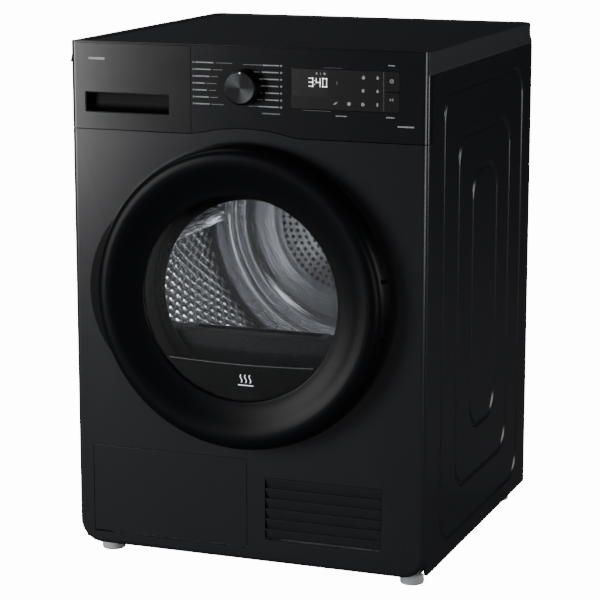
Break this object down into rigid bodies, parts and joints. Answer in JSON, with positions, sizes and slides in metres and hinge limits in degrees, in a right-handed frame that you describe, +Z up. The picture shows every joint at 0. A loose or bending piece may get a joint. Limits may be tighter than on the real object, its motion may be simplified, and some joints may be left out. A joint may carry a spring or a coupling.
{
  "type": "clothes dryer",
  "caption": "Front-loading heat-pump clothes dryer with a round glazed door, steel drum, water drawer, selector knob, display panel and adjustable feet.",
  "frame": {"origin": "floor point under the middle of the overall box", "axes": "+Z up, -Y out of the front (door) face, +X to the right of someone facing the door"},
  "size_m": [0.6, 0.65, 0.85],
  "materials": {
    "body_paint": "satin charcoal paint",
    "lid_finish": "fine-grained dark grey",
    "fascia_finish": "satin near-black with printed marks",
    "display_black": "polished black",
    "door_black": "satin black",
    "clear_glass": "clear",
    "dark_plastic": "moulded dark grey",
    "seal_rubber": "matt black",
    "felt": "pressed wool",
    "drum_steel": "stainless, embossed and polished",
    "zinc_steel": "galvanised sheet",
    "grey_plastic": "moulded grey",
    "tank_plastic": "milky white",
    "knob_metal": "spun dark metal",
    "fin_aluminium": "bare fins",
    "copper": "drawn copper tube",
    "motor_steel": "machined and pressed steel",
    "compressor_paint": "black enamel",
    "board_green": "circuit board",
    "lever_blue": "blue touch point",
    "foot_grey": "pale grey",
    "inlet_black": "matt black"
  },
  "bodies": {
    "cabinet": {"base_tray": "grey_plastic", "left_side_panel": "body_paint", "right_side_panel": "body_paint", "back_panel": "zinc_steel", "rear_duct_cover": "zinc_steel", "worktop_frame": "lid_finish", "worktop_panel": "lid_finish", "front_panel": "body_paint", "control_fascia": "fascia_finish", "display_window": "display_black", "control_board": "board_green", "tank_channel": "grey_plastic", "front_bulkhead": "dark_plastic", "front_felt_seal": "felt", "rear_bulkhead": "drum_steel", "rear_felt_seal": "felt", "air_inlet_grille": "dark_plastic", "moisture_sensor": "drum_steel", "compressor": "compressor_paint", "evaporator": "fin_aluminium", "condenser": "fin_aluminium", "refrigerant_pipe": "copper", "drive_motor": "motor_steel", "fan_housing": "grey_plastic", "drive_belt": "seal_rubber", "condensate_pump": "grey_plastic", "inner_cover": "grey_plastic", "latch_socket": "grey_plastic", "hinge_bracket": "zinc_steel", "cord_inlet": "inlet_black"},
    "door": {"door_ring": "door_black", "door_window": "clear_glass", "door_lens": "door_black", "door_inner_glass": "clear_glass", "door_liner": "dark_plastic", "door_seal": "seal_rubber", "latch_hook": "zinc_steel", "door_hinge_block": "zinc_steel"},
    "drum": {"drum_shell": "drum_steel", "drum_lifter_1": "drum_steel", "drum_lifter_2": "drum_steel"},
    "rotor": {"motor_pulley": "motor_steel", "fan_wheel": "grey_plastic"},
    "roller_front_left": {"roller_front_left": "seal_rubber"},
    "roller_front_right": {"roller_front_right": "seal_rubber"},
    "roller_rear_left": {"roller_rear_left": "seal_rubber"},
    "roller_rear_right": {"roller_rear_right": "seal_rubber"},
    "drawer": {"drawer_front": "fascia_finish", "water_tank": "tank_plastic"},
    "filter": {"lint_filter": "dark_plastic"},
    "knob": {"selector_knob": "knob_metal"},
    "power_key": {"power_key": "fascia_finish"},
    "start_key": {"start_key": "fascia_finish"},
    "flap": {"service_flap": "body_paint"},
    "lock_lever_left": {"lock_lever_left": "lever_blue"},
    "lock_lever_right": {"lock_lever_right": "lever_blue"},
    "foot_front_left": {"foot_front_left": "foot_grey"},
    "foot_front_right": {"foot_front_right": "foot_grey"},
    "foot_rear_left": {"foot_rear_left": "foot_grey"},
    "foot_rear_right": {"foot_rear_right": "foot_grey"}
  },
  "joints": [
    {"name": "door_hinge", "type": "hinge", "parent": "cabinet", "child": "door", "pos_m": [0.22, -0.313, 0.4565], "axis": [0, 0, 1], "range_deg": [0, 120]},
    {"name": "drum_spin", "type": "hinge", "parent": "cabinet", "child": "drum", "pos_m": [0, 0.009, 0.5], "axis": [0, 1, 0], "continuous": true},
    {"name": "motor_spin", "type": "hinge", "parent": "cabinet", "child": "rotor", "pos_m": [0.15, -0.008, 0.125], "axis": [0, 1, 0], "continuous": true},
    {"name": "roller_front_left_spin", "type": "hinge", "parent": "cabinet", "child": "roller_front_left", "pos_m": [-0.19, -0.183, 0.2736], "axis": [0, 1, 0], "continuous": true},
    {"name": "roller_front_right_spin", "type": "hinge", "parent": "cabinet", "child": "roller_front_right", "pos_m": [0.19, -0.183, 0.2736], "axis": [0, 1, 0], "continuous": true},
    {"name": "roller_rear_left_spin", "type": "hinge", "parent": "cabinet", "child": "roller_rear_left", "pos_m": [-0.19, 0.197, 0.2736], "axis": [0, 1, 0], "continuous": true},
    {"name": "roller_rear_right_spin", "type": "hinge", "parent": "cabinet", "child": "roller_rear_right", "pos_m": [0.19, 0.197, 0.2736], "axis": [0, 1, 0], "continuous": true},
    {"name": "drawer_slide", "type": "slide", "parent": "cabinet", "child": "drawer", "axis": [0, -1, 0], "range_m": [0, 0.36]},
    {"name": "filter_lift", "type": "slide", "parent": "cabinet", "child": "filter", "axis": [0, 0, 1], "range_m": [0, 0.16]},
    {"name": "knob_spin", "type": "hinge", "parent": "cabinet", "child": "knob", "pos_m": [0, -0.28, 0.787], "axis": [0, -1, 0], "continuous": true},
    {"name": "power_key_press", "type": "slide", "parent": "cabinet", "child": "power_key", "axis": [0, 1, 0], "range_m": [0, 0.001], "stiffness_N_per_m": 900},
    {"name": "start_key_press", "type": "slide", "parent": "cabinet", "child": "start_key", "axis": [0, 1, 0], "range_m": [0, 0.001], "stiffness_N_per_m": 900},
    {"name": "flap_hinge", "type": "hinge", "parent": "cabinet", "child": "flap", "pos_m": [-0.135, -0.274, 0.05], "axis": [1, 0, 0], "range_deg": [0, 90]},
    {"name": "lock_lever_left_turn", "type": "hinge", "parent": "cabinet", "child": "lock_lever_left", "pos_m": [-0.222, -0.255, 0.118], "axis": [0, 1, 0], "range_deg": [0, 90]},
    {"name": "lock_lever_right_turn", "type": "hinge", "parent": "cabinet", "child": "lock_lever_right", "pos_m": [-0.048, -0.255, 0.118], "axis": [0, -1, 0], "range_deg": [0, 90]},
    {"name": "foot_front_left_height", "type": "slide", "parent": "cabinet", "child": "foot_front_left", "axis": [0, 0, -1], "range_m": [0, 0.015]},
    {"name": "foot_front_right_height", "type": "slide", "parent": "cabinet", "child": "foot_front_right", "axis": [0, 0, -1], "range_m": [0, 0.015]},
    {"name": "foot_rear_left_height", "type": "slide", "parent": "cabinet", "child": "foot_rear_left", "axis": [0, 0, -1], "range_m": [0, 0.015]},
    {"name": "foot_rear_right_height", "type": "slide", "parent": "cabinet", "child": "foot_rear_right", "axis": [0, 0, -1], "range_m": [0, 0.015]}
  ],
  "couplings": [
    {"joint": "motor_spin", "follows": "drum_spin", "ratio": 27},
    {"joint": "roller_front_left_spin", "follows": "drum_spin", "ratio": -10.8},
    {"joint": "roller_front_right_spin", "follows": "drum_spin", "ratio": -10.8},
    {"joint": "roller_rear_left_spin", "follows": "drum_spin", "ratio": -10.8},
    {"joint": "roller_rear_right_spin", "follows": "drum_spin", "ratio": -10.8}
  ]
}
